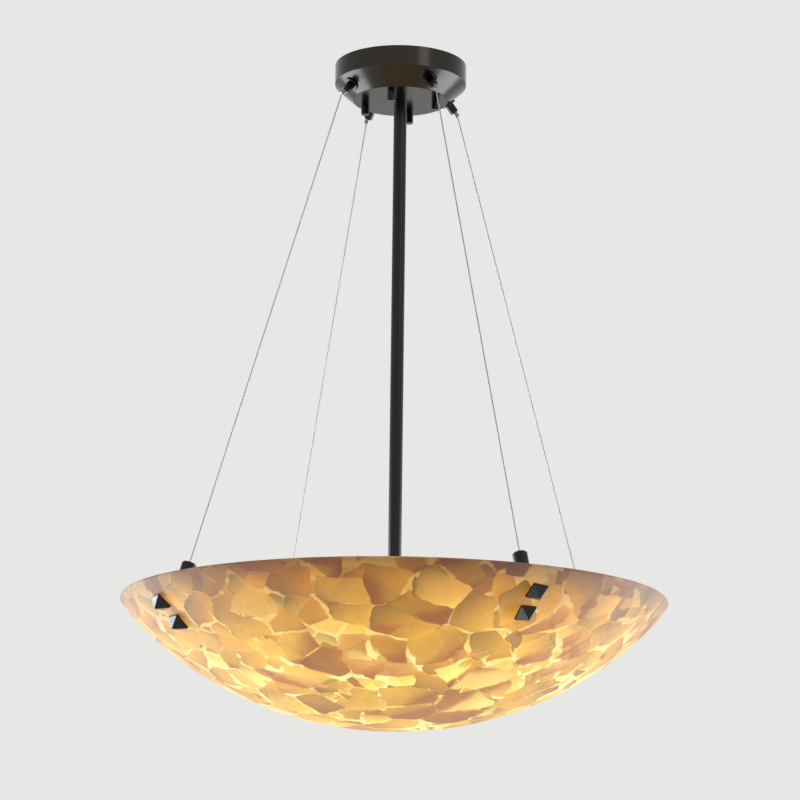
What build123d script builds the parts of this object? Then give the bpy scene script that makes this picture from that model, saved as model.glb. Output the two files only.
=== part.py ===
from build123d import *
import math
import os

# Hanging bowl light, in millimetres. The origin is the middle of the ceiling plate's
# upper face, so the whole light hangs below z = 0. The front of the light faces -Y.

# Overall layout
RIM_DROP = 628.0            # ceiling to the bowl's rim
CLIP_COUNT = 4              # cables, grippers and clips
FIRST_CLIP_ANGLE = 32.0     # degrees from +X to the first clip
THREAD_FIT = 0.05           # radial clearance of a screwed or sliding fit
HOLE_CLEARANCE = 0.4        # radial clearance of a plain fixing hole
CUT_OVERRUN = 1.0           # how far a cut runs past the metal
SAME_SIZE = 0.01            # sizes this close count as equal

# Ceiling plate
PLATE_RADIUS = 62.0
PLATE_THICKNESS = 3.0
DISH_RADIUS = 20.0          # pressed middle that sinks the top lock nut
DISH_DEPTH = 9.0
BOX_SCREW_SPACING = 79.4    # between the two slots for the outlet box's screws
BOX_SLOT_WIDTH = 5.0
BOX_SLOT_LENGTH = 16.0
GROUND_SCREW_RADIUS = 50.0  # place of the screw from the plate's middle
GROUND_SCREW_ANGLE = 120.0
GROUND_SHANK_RADIUS = 1.6
GROUND_HEAD_RADIUS = 3.6
GROUND_HEAD_HEIGHT = 2.2

# Studs and cap nuts that hold the canopy up
STUD_CIRCLE_RADIUS = 42.0
STUD_RADIUS = 2.4
STUD_FLANGE_RADIUS = 4.5
STUD_FLANGE_HEIGHT = 1.5
CAP_NUT_RADIUS = 4.8
CAP_NUT_LENGTH = 13.5
CAP_NUT_BORE_DEPTH = 9.5
STUD_END_GAP = 0.5          # left free at the bottom of the cap nut's bore
CAP_NUT_CHAMFER = 0.6

# Canopy
CANOPY_RADIUS = 76.0
BAND_HEIGHT = 23.0
CONE_HEIGHT = 19.0
FLAT_RADIUS = 54.5
CANOPY_WALL = 1.6
CANOPY_EDGE_ROUND = 1.2

# Stem and its threaded nipples
STEM_RADIUS = 7.5
NIPPLE_RADIUS = 5.0
NIPPLE_BORE_RADIUS = 3.2
NIPPLE_ENGAGEMENT = 30.0    # length screwed into each end of the stem
NIPPLE_STICKOUT = 2.0       # past a lock nut
LOCK_NUT_FLATS = 16.0
LOCK_NUT_HEIGHT = 4.0

# Cable grippers, square to the canopy's cone
GRIPPER_RADIUS = 5.0
GRIPPER_FLANGE_RADIUS = 8.5
GRIPPER_FLANGE_HEIGHT = 2.0
GRIPPER_BARREL_LENGTH = 13.2    # flange included
GRIPPER_SHANK_LENGTH = 12.0
GRIPPER_CAVITY_RADIUS = 3.9
GRIPPER_NECK_LENGTH = 4.0
GRIPPER_NUT_FLATS = 15.0
GRIPPER_NUT_HEIGHT = 4.5
GRIPPER_ROUND = 0.6
PLUNGER_RADIUS = 3.0
PLUNGER_LENGTH = 6.4            # sticking out of the barrel
PLUNGER_HEAD_LENGTH = 4.0
PLUNGER_BORE_RADIUS = 1.2
PLUNGER_CHAMFER = 0.5

# Cables
CABLE_RADIUS = 0.8
CABLE_TAIL_LENGTH = 20.0        # loose end inside the canopy
CABLE_END_GAP = 0.45            # between the tail and the taut length at their bend
CABLE_STOP_RADIUS = 2.6
CABLE_STOP_LENGTH = 8.0

# Bowl
BOWL_RADIUS = 307.0         # before the rim is rounded, 305 after
BOWL_DEPTH = 142.0
BOWL_WALL = 7.0
SIDE_WIDTH = 30.5           # steeper band under the rim, seen from above
SIDE_HEIGHT = 35.0
RIM_WIDTH = 8.5
RIM_ROUND = 2.6

# Clips: a foot inside the bowl, a leaning post and a slotted head for the cable
UPPER_STUD_INSET = 19.7     # rim to the upper stud, seen from above
STUD_STEP = 21.3            # upper to lower stud, seen from above
CLIP_HEAD_INSET = 51.0      # rim to the top of the head, seen from above
CLIP_HEAD_RISE = 19.0       # top of the head above the rim
CLIP_HEAD_RADIUS = 8.0
CLIP_HEAD_LENGTH = 20.0
CLIP_HEAD_CHAMFER = 1.0
CLIP_ROOF = 8.0             # metal above the cable stop
CLIP_POST_RADIUS = 4.5
CLIP_CABLE_CLEARANCE = 0.5
CLIP_STOP_CLEARANCE = 0.3
FOOT_MARGIN = 9.5           # from a stud to the foot's end
FOOT_WIDTH = 16.0
FOOT_THICKNESS = 4.0
FOOT_CORNER = 3.0
PAD_THICKNESS = 1.5         # soft pad under the foot, at the studs
PAD_GAP = 0.05

# Pyramid finials with their studs
FINIAL_SIZE = 19.0
FINIAL_PLINTH = 2.0
FINIAL_HEIGHT = 11.5        # plinth included
FINIAL_TIP = 0.4            # blunt point
FINIAL_BORE_DEPTH = 6.0
FINIAL_STUD_RADIUS = 2.0
FINIAL_STUD_STICKOUT = 1.5
FINIAL_WASHER_RADIUS = 6.5
FINIAL_WASHER_THICKNESS = 1.0
CLIP_NUT_FLATS = 7.0
CLIP_NUT_HEIGHT = 3.2

# Lamp cluster
LAMP_COUNT = 6
FIRST_LAMP_ANGLE = 17.0
LAMP_AXIS_DROP = 47.0       # rim to the lamps' axes
HUB_APOTHEM = 36.0          # axis to each flat side
HUB_HEIGHT = 44.0
HUB_WALL = 2.0
HUB_EDGE_ROUND = 3.0
HUB_LUG_RADIUS = 4.0
HUB_LUG_INSET = 5.0         # flat side to the lugs' circle
HUB_LUG_COUNT = 2
COVER_THICKNESS = 2.0
COVER_SCREW_RADIUS = 2.0
COVER_SCREW_DEPTH = 8.0
COVER_HEAD_RADIUS = 3.8
COVER_HEAD_HEIGHT = 2.4

# Lampholders, along each lamp's axis from the hub's flat side
HOLDER_RADIUS = 16.5
HOLDER_SKIRT_RADIUS = 19.0
HOLDER_BACK_LENGTH = 22.0
HOLDER_LENGTH = 48.0
HOLDER_FLOOR = 8.0
HOLDER_BOSS_RADIUS = 8.0
HOLDER_BOSS_LENGTH = 5.0
HOLDER_ROUND = 1.2
SHELL_WALL = 0.6
SHELL_LENGTH = 30.0
CONTACT_RADIUS = 5.0
CONTACT_HEIGHT = 2.0

# Lamps
CAP_RADIUS = 13.2
CAP_LENGTH = 24.0
BUTTON_RADIUS = 5.0
BUTTON_HEIGHT = 3.0
LAMP_SEAT_GAP = 0.3         # between the lamp's button and the holder's contact
GLASS_RADIUS = 30.0
GLASS_LENGTH = 80.0
GLASS_NECK_RADIUS = 12.4
GLASS_WALL = 1.0
GLASS_SHOULDER = 0.2        # glass starts this far past the cap

# Heights and angles that follow from the sizes above
FLAT_LEVEL = -(BAND_HEIGHT + CONE_HEIGHT)
RIM_LEVEL = -RIM_DROP
DISH_LEVEL = -(DISH_DEPTH + PLATE_THICKNESS)
CONE_ANGLE = math.atan2(CONE_HEIGHT, CANOPY_RADIUS - FLAT_RADIUS)
STEM_TOP = DISH_LEVEL - LOCK_NUT_HEIGHT - NIPPLE_STICKOUT
LAMP_LEVEL = RIM_LEVEL - LAMP_AXIS_DROP
HUB_TOP = LAMP_LEVEL + HUB_HEIGHT / 2
HUB_BOTTOM = LAMP_LEVEL - HUB_HEIGHT / 2
LAMP_SEAT = HOLDER_FLOOR + CONTACT_HEIGHT + LAMP_SEAT_GAP
BETWEEN_CLIPS = FIRST_CLIP_ANGLE + 180.0 / CLIP_COUNT
HUB_CORNER_ANGLE = FIRST_LAMP_ANGLE + 180.0 / LAMP_COUNT

UP = (Align.CENTER, Align.CENTER, Align.MIN)
DOWN = (Align.CENTER, Align.CENTER, Align.MAX)


def rod(radius, bottom, top):
    """A round bar on the Z axis between two heights."""
    return Pos(0, 0, bottom) * Cylinder(radius, top - bottom, align=UP)


def spun(points):
    """A turned piece from an outline of (radius, height) points."""
    outline = make_face(Plane.XZ * Polyline(*points, close=True))
    return revolve(outline, Axis.Z)


def hex_nut(flats, height, bore):
    """A hexagonal nut that stands on z = 0."""
    body = extrude(RegularPolygon(flats / 2, 6, major_radius=False), height)
    return body - rod(bore, -CUT_OVERRUN, height + CUT_OVERRUN)


def circles(piece, radius):
    """Round edges of one radius."""
    round_edges = piece.edges().filter_by(GeomType.CIRCLE)
    return round_edges.filter_by(lambda edge: abs(edge.radius - radius) < SAME_SIZE)


def ring(piece, count, first_angle):
    """Copies of a piece, evenly spaced about the Z axis."""
    return [Rot(0, 0, first_angle + 360.0 * i / count) * piece for i in range(count)]


def save(name, *pieces):
    """Write one node, of one or more separate solids."""
    solids = [solid for piece in pieces for solid in piece.solids()]
    shape = solids[0] if len(solids) == 1 else Compound(children=solids)
    shape.label = name
    export_step(shape, f"parts/{name}.step")


# ---------------------------------------------------------------- ceiling end

def ceiling_plate():
    """Pressed disc with a dished middle and slots for the outlet box's screws."""
    inner = DISH_RADIUS - PLATE_THICKNESS
    bore = NIPPLE_RADIUS + THREAD_FIT
    plate = spun([
        (PLATE_RADIUS, 0),
        (PLATE_RADIUS, -PLATE_THICKNESS),
        (DISH_RADIUS, -PLATE_THICKNESS),
        (DISH_RADIUS, DISH_LEVEL),
        (bore, DISH_LEVEL),
        (bore, DISH_LEVEL + PLATE_THICKNESS),
        (inner, DISH_LEVEL + PLATE_THICKNESS),
        (inner, 0),
    ])
    slot = SlotOverall(BOX_SLOT_LENGTH, BOX_SLOT_WIDTH)
    slot = extrude(slot, PLATE_THICKNESS + CUT_OVERRUN, both=True)
    for side in (-1, 1):
        plate -= Pos(side * BOX_SCREW_SPACING / 2, 0, 0) * slot
    hole = rod(GROUND_SHANK_RADIUS + THREAD_FIT, -PLATE_THICKNESS - CUT_OVERRUN, CUT_OVERRUN)
    return plate - Rot(0, 0, GROUND_SCREW_ANGLE) * Pos(GROUND_SCREW_RADIUS, 0, 0) * hole


def ground_screw():
    """Screw for the earth wire, from below."""
    head = rod(GROUND_HEAD_RADIUS, -PLATE_THICKNESS - GROUND_HEAD_HEIGHT, -PLATE_THICKNESS)
    screw = rod(GROUND_SHANK_RADIUS, -PLATE_THICKNESS, 0) + head
    return Rot(0, 0, GROUND_SCREW_ANGLE) * Pos(GROUND_SCREW_RADIUS, 0, 0) * screw


def canopy_stud():
    """Flanged stud under the plate, down into its cap nut."""
    end = FLAT_LEVEL - CAP_NUT_BORE_DEPTH + STUD_END_GAP
    flange = rod(STUD_FLANGE_RADIUS, -PLATE_THICKNESS - STUD_FLANGE_HEIGHT, -PLATE_THICKNESS)
    return Pos(STUD_CIRCLE_RADIUS, 0, 0) * (rod(STUD_RADIUS, end, -PLATE_THICKNESS) + flange)


def canopy_cap_nut():
    """Plain round cap nut under the canopy's flat."""
    end = FLAT_LEVEL - CAP_NUT_LENGTH
    nut = rod(CAP_NUT_RADIUS, end, FLAT_LEVEL)
    nut = chamfer(nut.edges().group_by(Axis.Z)[0], CAP_NUT_CHAMFER)
    bore_end = FLAT_LEVEL - CAP_NUT_BORE_DEPTH
    nut -= rod(STUD_RADIUS + THREAD_FIT, bore_end, FLAT_LEVEL + CUT_OVERRUN)
    return Pos(STUD_CIRCLE_RADIUS, 0, 0) * nut


def on_cone():
    """Frame on the middle of the canopy's cone, with Z out of the metal."""
    middle = (CANOPY_RADIUS + FLAT_RADIUS) / 2
    level = -BAND_HEIGHT - CONE_HEIGHT / 2
    outward = (math.sin(CONE_ANGLE), 0, -math.cos(CONE_ANGLE))
    return Plane(origin=(middle, 0, level), x_dir=(0, 1, 0), z_dir=outward).location


def canopy():
    """Spun shell: straight band, cone and flat, holed for stem, studs and grippers."""
    band_shift = CANOPY_WALL * (1 - math.sin(CONE_ANGLE)) / math.cos(CONE_ANGLE)
    flat_shift = CANOPY_WALL * (1 - math.cos(CONE_ANGLE)) / math.sin(CONE_ANGLE)
    stem_hole = STEM_RADIUS + HOLE_CLEARANCE
    shell = spun([
        (CANOPY_RADIUS, 0),
        (CANOPY_RADIUS, -BAND_HEIGHT),
        (FLAT_RADIUS, FLAT_LEVEL),
        (stem_hole, FLAT_LEVEL),
        (stem_hole, FLAT_LEVEL + CANOPY_WALL),
        (FLAT_RADIUS - flat_shift, FLAT_LEVEL + CANOPY_WALL),
        (CANOPY_RADIUS - CANOPY_WALL, -BAND_HEIGHT + band_shift),
        (CANOPY_RADIUS - CANOPY_WALL, 0),
    ])
    corners = circles(shell, CANOPY_RADIUS).sort_by(Axis.Z)[:1] + circles(shell, FLAT_RADIUS)
    shell = fillet(corners, CANOPY_EDGE_ROUND)
    inside = FLAT_LEVEL + CANOPY_WALL
    stud_hole = rod(STUD_RADIUS + HOLE_CLEARANCE, FLAT_LEVEL - CUT_OVERRUN, inside + CUT_OVERRUN)
    for hole in ring(Pos(STUD_CIRCLE_RADIUS, 0, 0) * stud_hole, CLIP_COUNT, BETWEEN_CLIPS):
        shell -= hole
    gripper_hole = on_cone() * rod(GRIPPER_RADIUS + THREAD_FIT, -GRIPPER_SHANK_LENGTH, CUT_OVERRUN)
    for hole in ring(gripper_hole, CLIP_COUNT, FIRST_CLIP_ANGLE):
        shell -= hole
    return shell


def gripper_body():
    """Threaded barrel with a flange outside the cone and a cavity for the plunger."""
    flange = rod(GRIPPER_FLANGE_RADIUS, 0, GRIPPER_FLANGE_HEIGHT)
    flange = fillet(flange.edges().group_by(Axis.Z)[-1], GRIPPER_ROUND)
    barrel = rod(GRIPPER_RADIUS, -GRIPPER_SHANK_LENGTH, GRIPPER_BARREL_LENGTH)
    barrel = fillet(barrel.edges().group_by(Axis.Z)[-1], GRIPPER_ROUND)
    neck = GRIPPER_BARREL_LENGTH - GRIPPER_NECK_LENGTH
    body = flange + barrel
    body -= rod(GRIPPER_CAVITY_RADIUS, -GRIPPER_SHANK_LENGTH - CUT_OVERRUN, neck)
    body -= rod(PLUNGER_RADIUS + THREAD_FIT, 0, GRIPPER_BARREL_LENGTH + CUT_OVERRUN)
    return on_cone() * body


def gripper_nut():
    """Lock nut of a gripper, its corners against the hollow inside of the cone."""
    nut = hex_nut(GRIPPER_NUT_FLATS, GRIPPER_NUT_HEIGHT, GRIPPER_RADIUS + THREAD_FIT)
    corner = GRIPPER_NUT_FLATS / math.sqrt(3)
    slant = math.hypot(CANOPY_RADIUS - FLAT_RADIUS, CONE_HEIGHT) / 2
    low_corner = FLAT_RADIUS + (slant - corner) * math.cos(CONE_ANGLE)
    hollow = low_corner / math.sin(CONE_ANGLE) - CANOPY_WALL
    seat = CANOPY_WALL + hollow - math.sqrt(hollow ** 2 - corner ** 2)
    return on_cone() * Pos(0, 0, -seat - GRIPPER_NUT_HEIGHT) * nut


def plunger():
    """Release nozzle that the cable leaves through, with its head on the neck."""
    neck = GRIPPER_BARREL_LENGTH - GRIPPER_NECK_LENGTH
    tip = GRIPPER_BARREL_LENGTH + PLUNGER_LENGTH
    nozzle = rod(PLUNGER_RADIUS, neck, tip)
    nozzle = chamfer(nozzle.edges().group_by(Axis.Z)[-1], PLUNGER_CHAMFER)
    back = neck - PLUNGER_HEAD_LENGTH
    head = rod(GRIPPER_CAVITY_RADIUS - THREAD_FIT, back, neck)
    bore = rod(PLUNGER_BORE_RADIUS, back - CUT_OVERRUN, tip + CUT_OVERRUN)
    return on_cone() * (nozzle + head - bore)


def cable_tail():
    """End of the cable that runs through the gripper and lies loose in the canopy."""
    tip = GRIPPER_BARREL_LENGTH + PLUNGER_LENGTH
    loose_end = -GRIPPER_SHANK_LENGTH - CABLE_TAIL_LENGTH
    return on_cone() * rod(CABLE_RADIUS, loose_end, tip - CABLE_END_GAP)


# ---------------------------------------------------------------- stem

def stem():
    """Drawn tube from the ceiling plate's lock nut to the lamp cluster."""
    bore = rod(NIPPLE_RADIUS + THREAD_FIT, HUB_TOP - CUT_OVERRUN, STEM_TOP + CUT_OVERRUN)
    return rod(STEM_RADIUS, HUB_TOP, STEM_TOP) - bore


def nipple(bottom, top):
    """Hollow threaded nipple between two heights."""
    bore = rod(NIPPLE_BORE_RADIUS, bottom - CUT_OVERRUN, top + CUT_OVERRUN)
    return rod(NIPPLE_RADIUS, bottom, top) - bore


def top_nipple():
    """Nipple from above the plate's dish into the stem."""
    top = DISH_LEVEL + PLATE_THICKNESS + LOCK_NUT_HEIGHT + NIPPLE_STICKOUT
    return nipple(STEM_TOP - NIPPLE_ENGAGEMENT, top)


def top_lock_nuts():
    """Lock nuts above and below the plate's dish."""
    nut = hex_nut(LOCK_NUT_FLATS, LOCK_NUT_HEIGHT, NIPPLE_RADIUS + THREAD_FIT)
    above = Pos(0, 0, DISH_LEVEL + PLATE_THICKNESS) * nut
    below = Pos(0, 0, DISH_LEVEL - LOCK_NUT_HEIGHT) * nut
    return above, below


def hub_nipple():
    """Nipple from the stem into the lamp cluster."""
    bottom = HUB_TOP - HUB_WALL - LOCK_NUT_HEIGHT - NIPPLE_STICKOUT
    return nipple(bottom, HUB_TOP + NIPPLE_ENGAGEMENT)


def hub_lock_nut():
    """Lock nut under the top of the hub."""
    nut = hex_nut(LOCK_NUT_FLATS, LOCK_NUT_HEIGHT, NIPPLE_RADIUS + THREAD_FIT)
    return Pos(0, 0, HUB_TOP - HUB_WALL - LOCK_NUT_HEIGHT) * nut


# ---------------------------------------------------------------- bowl

def bowl_arcs(inset, rim_radius):
    """Outline from the bottom to the rim: a wide crown arc, then a tighter side arc."""
    corner = Vector(BOWL_RADIUS - SIDE_WIDTH, -SIDE_HEIGHT)
    outer_crown = TangentArc((0, -BOWL_DEPTH), corner, tangent=(1, 0))
    slope = outer_crown % 1
    shifted = corner + Vector(-slope.Y, slope.X) * inset
    crown = TangentArc((0, -BOWL_DEPTH + inset), shifted, tangent=(1, 0))
    side = TangentArc(shifted, (rim_radius, 0), tangent=crown % 1)
    return crown, side


def under_rim(crown, side):
    """Solid of revolution from two arcs up to the rim's level."""
    axis_line = Line(crown @ 0, (0, 0))
    rim_line = Line((0, 0), side @ 1)
    outline = make_face([crown, side, axis_line, rim_line])
    return Pos(0, 0, RIM_LEVEL) * revolve(Plane.XZ * outline, Axis.Z)


def bowl_cavity(gap):
    """The space inside the bowl, a little smaller than the bowl's inner face."""
    crown, side = bowl_arcs(BOWL_WALL + gap, BOWL_RADIUS - RIM_WIDTH - gap)
    return under_rim(crown, side)


def bowl_block():
    """The bowl's outer form, filled up to the rim."""
    crown, side = bowl_arcs(0, BOWL_RADIUS)
    return under_rim(crown, side)


def outer_point(radius):
    """Point of the bowl's outer face at a radius, as (x, z)."""
    crown, side = bowl_arcs(0, BOWL_RADIUS)
    arc = crown if radius < BOWL_RADIUS - SIDE_WIDTH else side
    centre = arc.arc_center
    drop = math.sqrt(arc.radius ** 2 - (radius - centre.X) ** 2)
    return Vector(radius, 0, RIM_LEVEL + centre.Y - drop)


def stud_points():
    """The upper and the lower stud's places on the outer face."""
    upper = BOWL_RADIUS - UPPER_STUD_INSET
    return outer_point(upper), outer_point(upper - STUD_STEP)


def clip_frame():
    """Frame midway between the two studs on the outer face: X up the wall, Z inwards."""
    upper, lower = stud_points()
    up_wall = (upper - lower).normalized()
    inward = Vector(-up_wall.Z, 0, up_wall.X)
    return Plane(origin=(upper + lower) / 2, x_dir=up_wall, z_dir=inward)


def stud_offsets():
    """Distance of each stud from the middle of the clip, up the wall."""
    upper, lower = stud_points()
    half = (upper - lower).length / 2
    return (-half, half)


def foot_outline():
    """Outline of a clip's foot, round both studs."""
    low, high = stud_offsets()
    return RectangleRounded(high - low + 2 * FOOT_MARGIN, FOOT_WIDTH, FOOT_CORNER)


def bowl():
    """Turned bowl with a rounded rim and two stud holes for each clip."""
    body = bowl_block() - bowl_cavity(0)
    rim = circles(body, BOWL_RADIUS) + circles(body, BOWL_RADIUS - RIM_WIDTH)
    body = fillet(rim, RIM_ROUND)
    drill = rod(FINIAL_STUD_RADIUS + HOLE_CLEARANCE, -BOWL_WALL, 2 * BOWL_WALL)
    frame = clip_frame().location
    for offset in stud_offsets():
        for hole in ring(frame * Pos(offset, 0, 0) * drill, CLIP_COUNT, FIRST_CLIP_ANGLE):
            body -= hole
    return body


def clip_axis():
    """Frame on top of the clip's head: Z down the head and post, X across."""
    frame = clip_frame()
    root = frame.origin + frame.z_dir * (BOWL_WALL + PAD_THICKNESS)
    top = Vector(BOWL_RADIUS - CLIP_HEAD_INSET, 0, RIM_LEVEL + CLIP_HEAD_RISE)
    axis = (root - top).normalized()
    return Plane(origin=top, x_dir=(0, 1, 0), z_dir=axis), (root - top).length


def clip():
    """One clip: foot along the wall, post and head with a slot for cable and stop."""
    foot = extrude(foot_outline(), FOOT_THICKNESS)
    drill = rod(FINIAL_STUD_RADIUS + HOLE_CLEARANCE, -CUT_OVERRUN, FOOT_THICKNESS + CUT_OVERRUN)
    for offset in stud_offsets():
        foot -= Pos(offset, 0, 0) * drill
    foot_place = clip_frame().location * Pos(0, 0, BOWL_WALL + PAD_THICKNESS)

    head_plane, reach = clip_axis()
    cable_gap = CABLE_RADIUS + CLIP_CABLE_CLEARANCE
    stop_gap = CABLE_STOP_RADIUS + CLIP_STOP_CLEARANCE
    stop_end = CLIP_ROOF + CABLE_STOP_LENGTH + CLIP_STOP_CLEARANCE
    head = rod(CLIP_HEAD_RADIUS, 0, CLIP_HEAD_LENGTH)
    head = chamfer(head.edges().filter_by(GeomType.CIRCLE), CLIP_HEAD_CHAMFER)
    head -= open_slot(cable_gap, -CUT_OVERRUN, CLIP_ROOF + CUT_OVERRUN)
    head -= open_slot(stop_gap, CLIP_ROOF, stop_end)

    post = head_plane.location * rod(CLIP_POST_RADIUS, CLIP_HEAD_LENGTH - CLIP_HEAD_CHAMFER, reach)
    below_foot = foot_place * Box(FOOT_WIDTH, FOOT_WIDTH, FOOT_WIDTH, align=DOWN)
    return foot_place * foot + (post - below_foot) + head_plane.location * head


def open_slot(half_width, start, end):
    """Cutter for a round-ended slot that opens to one side of the clip's head."""
    opening = (Align.CENTER, Align.MAX, Align.MIN)
    mouth = Box(2 * half_width, 2 * CLIP_HEAD_RADIUS, end - start, align=opening)
    return rod(half_width, start, end) + Pos(0, 0, start) * mouth


def clip_pad():
    """Soft pad between the clip's foot and the bowl's inner face."""
    depth = BOWL_WALL + PAD_THICKNESS
    pad = extrude(foot_outline(), -depth)
    drill = rod(FINIAL_STUD_RADIUS + HOLE_CLEARANCE, -depth - CUT_OVERRUN, CUT_OVERRUN)
    for offset in stud_offsets():
        pad -= Pos(offset, 0, 0) * drill
    pad = clip_frame().location * Pos(0, 0, depth) * pad
    return pad & bowl_cavity(PAD_GAP)


def clip_nut():
    """Nut of a finial's stud, on the clip's foot."""
    nut = hex_nut(CLIP_NUT_FLATS, CLIP_NUT_HEIGHT, FINIAL_STUD_RADIUS + THREAD_FIT)
    return Pos(0, 0, BOWL_WALL + PAD_THICKNESS + FOOT_THICKNESS) * nut


def finial():
    """Four-sided pyramid on a low plinth, tapped from behind."""
    plinth = extrude(Rectangle(FINIAL_SIZE, FINIAL_SIZE), FINIAL_PLINTH)
    taper = loft([
        Rectangle(FINIAL_SIZE, FINIAL_SIZE),
        Pos(0, 0, FINIAL_HEIGHT - FINIAL_PLINTH) * Rectangle(FINIAL_TIP, FINIAL_TIP),
    ], ruled=True)
    body = plinth + Pos(0, 0, FINIAL_PLINTH) * taper
    body -= rod(FINIAL_STUD_RADIUS + THREAD_FIT, -CUT_OVERRUN, FINIAL_BORE_DEPTH)
    return Rot(180, 0, 0) * body


def finial_stud():
    """Threaded rod from the finial through the wall, pad and foot to the nut."""
    inner = BOWL_WALL + PAD_THICKNESS + FOOT_THICKNESS + CLIP_NUT_HEIGHT + FINIAL_STUD_STICKOUT
    outer = -FINIAL_WASHER_THICKNESS - FINIAL_BORE_DEPTH + STUD_END_GAP
    return rod(FINIAL_STUD_RADIUS, outer, inner)


def finial_washer():
    """Soft washer behind the finial, long enough to be cut to the bowl's outer face."""
    start, end = -FINIAL_WASHER_THICKNESS, FINIAL_WASHER_THICKNESS
    hole = rod(FINIAL_STUD_RADIUS + HOLE_CLEARANCE, start - CUT_OVERRUN, end + CUT_OVERRUN)
    return rod(FINIAL_WASHER_RADIUS, start, end) - hole


def cable_ends():
    """Nozzle mouth and cable stop's top, the two ends of a taut cable."""
    mouth = (on_cone() * Pos(0, 0, GRIPPER_BARREL_LENGTH + PLUNGER_LENGTH)).position
    head_plane, _ = clip_axis()
    stop = head_plane.origin + head_plane.z_dir * CLIP_ROOF
    return mouth, stop


def cable():
    """Taut cable from the gripper's nozzle to its stop in the clip's head."""
    mouth, stop = cable_ends()
    along = Plane(origin=mouth, x_dir=(0, 1, 0), z_dir=(stop - mouth).normalized())
    return along.location * rod(CABLE_RADIUS, 0, (stop - mouth).length)


def cable_stop():
    """Crimped stop on the end of the cable, under the roof of the clip's head."""
    head_plane, _ = clip_axis()
    stop = rod(CABLE_STOP_RADIUS, CLIP_ROOF, CLIP_ROOF + CABLE_STOP_LENGTH)
    return head_plane.location * stop


# ---------------------------------------------------------------- lamp cluster

def hub_section(apothem):
    """Polygon with a flat side towards each lamp."""
    return Rot(0, 0, HUB_CORNER_ANGLE) * RegularPolygon(apothem, LAMP_COUNT, major_radius=False)


def at_lugs(piece):
    """A piece at each lug for the cover's screws, in opposite corners of the hub."""
    placed = Pos(HUB_APOTHEM - HUB_LUG_INSET, 0, 0) * piece
    return ring(placed, HUB_LUG_COUNT, HUB_CORNER_ANGLE)


def on_side():
    """Frame on the hub's first flat side, with Z along the lamp's axis."""
    return Plane(origin=(HUB_APOTHEM, 0, LAMP_LEVEL), x_dir=(0, 1, 0), z_dir=(1, 0, 0)).location


def hub_body():
    """Six-sided box, open below, with a holed top, holed sides and two lugs."""
    outer = Pos(0, 0, HUB_BOTTOM) * extrude(hub_section(HUB_APOTHEM), HUB_HEIGHT)
    outer = fillet(outer.edges().filter_by(Axis.Z), HUB_EDGE_ROUND)
    inner = extrude(hub_section(HUB_APOTHEM - HUB_WALL), HUB_HEIGHT - HUB_WALL + CUT_OVERRUN)
    body = outer - Pos(0, 0, HUB_BOTTOM - CUT_OVERRUN) * inner
    lug = rod(HUB_LUG_RADIUS, HUB_BOTTOM, HUB_TOP - HUB_WALL)
    bore_end = HUB_BOTTOM + COVER_SCREW_DEPTH + CUT_OVERRUN
    lug -= rod(COVER_SCREW_RADIUS + THREAD_FIT, HUB_BOTTOM - CUT_OVERRUN, bore_end)
    for placed in at_lugs(lug):
        body += placed
    body -= rod(NIPPLE_RADIUS + THREAD_FIT, HUB_TOP - HUB_WALL - CUT_OVERRUN, HUB_TOP + CUT_OVERRUN)
    side_hole = rod(HOLDER_BOSS_RADIUS + THREAD_FIT, -HUB_WALL - CUT_OVERRUN, CUT_OVERRUN)
    side_hole = on_side() * side_hole
    for hole in ring(side_hole, LAMP_COUNT, FIRST_LAMP_ANGLE):
        body -= hole
    return body


def hub_cover():
    """Flat lid under the hub."""
    under = HUB_BOTTOM - COVER_THICKNESS
    lid = Pos(0, 0, under) * extrude(hub_section(HUB_APOTHEM), COVER_THICKNESS)
    lid = fillet(lid.edges().filter_by(Axis.Z), HUB_EDGE_ROUND)
    drill = rod(COVER_SCREW_RADIUS + HOLE_CLEARANCE, under - CUT_OVERRUN, HUB_BOTTOM + CUT_OVERRUN)
    for hole in at_lugs(drill):
        lid -= hole
    return lid


def cover_screws():
    """Screws through the lid into the hub's lugs."""
    under = HUB_BOTTOM - COVER_THICKNESS
    screw = rod(COVER_SCREW_RADIUS, under, HUB_BOTTOM + COVER_SCREW_DEPTH)
    screw += rod(COVER_HEAD_RADIUS, under - COVER_HEAD_HEIGHT, under)
    return at_lugs(screw)


def lampholder():
    """Moulded holder: boss into the hub, narrow back and wider skirt, bored for the shell."""
    bore = CAP_RADIUS + 2 * THREAD_FIT + SHELL_WALL
    body = spun([
        (0, -HOLDER_BOSS_LENGTH),
        (HOLDER_BOSS_RADIUS, -HOLDER_BOSS_LENGTH),
        (HOLDER_BOSS_RADIUS, 0),
        (HOLDER_RADIUS, 0),
        (HOLDER_RADIUS, HOLDER_BACK_LENGTH),
        (HOLDER_SKIRT_RADIUS, HOLDER_BACK_LENGTH),
        (HOLDER_SKIRT_RADIUS, HOLDER_LENGTH),
        (bore, HOLDER_LENGTH),
        (bore, HOLDER_FLOOR),
        (0, HOLDER_FLOOR),
    ])
    return on_side() * fillet(circles(body, HOLDER_SKIRT_RADIUS), HOLDER_ROUND)


def screw_shell():
    """Thin brass sleeve that the lamp's cap turns in."""
    inner = CAP_RADIUS + THREAD_FIT
    end = HOLDER_FLOOR + SHELL_LENGTH
    bore = rod(inner, HOLDER_FLOOR - CUT_OVERRUN, end + CUT_OVERRUN)
    return on_side() * (rod(inner + SHELL_WALL, HOLDER_FLOOR, end) - bore)


def centre_contact():
    """Brass contact on the holder's floor."""
    return on_side() * rod(CONTACT_RADIUS, HOLDER_FLOOR, HOLDER_FLOOR + CONTACT_HEIGHT)


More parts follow.
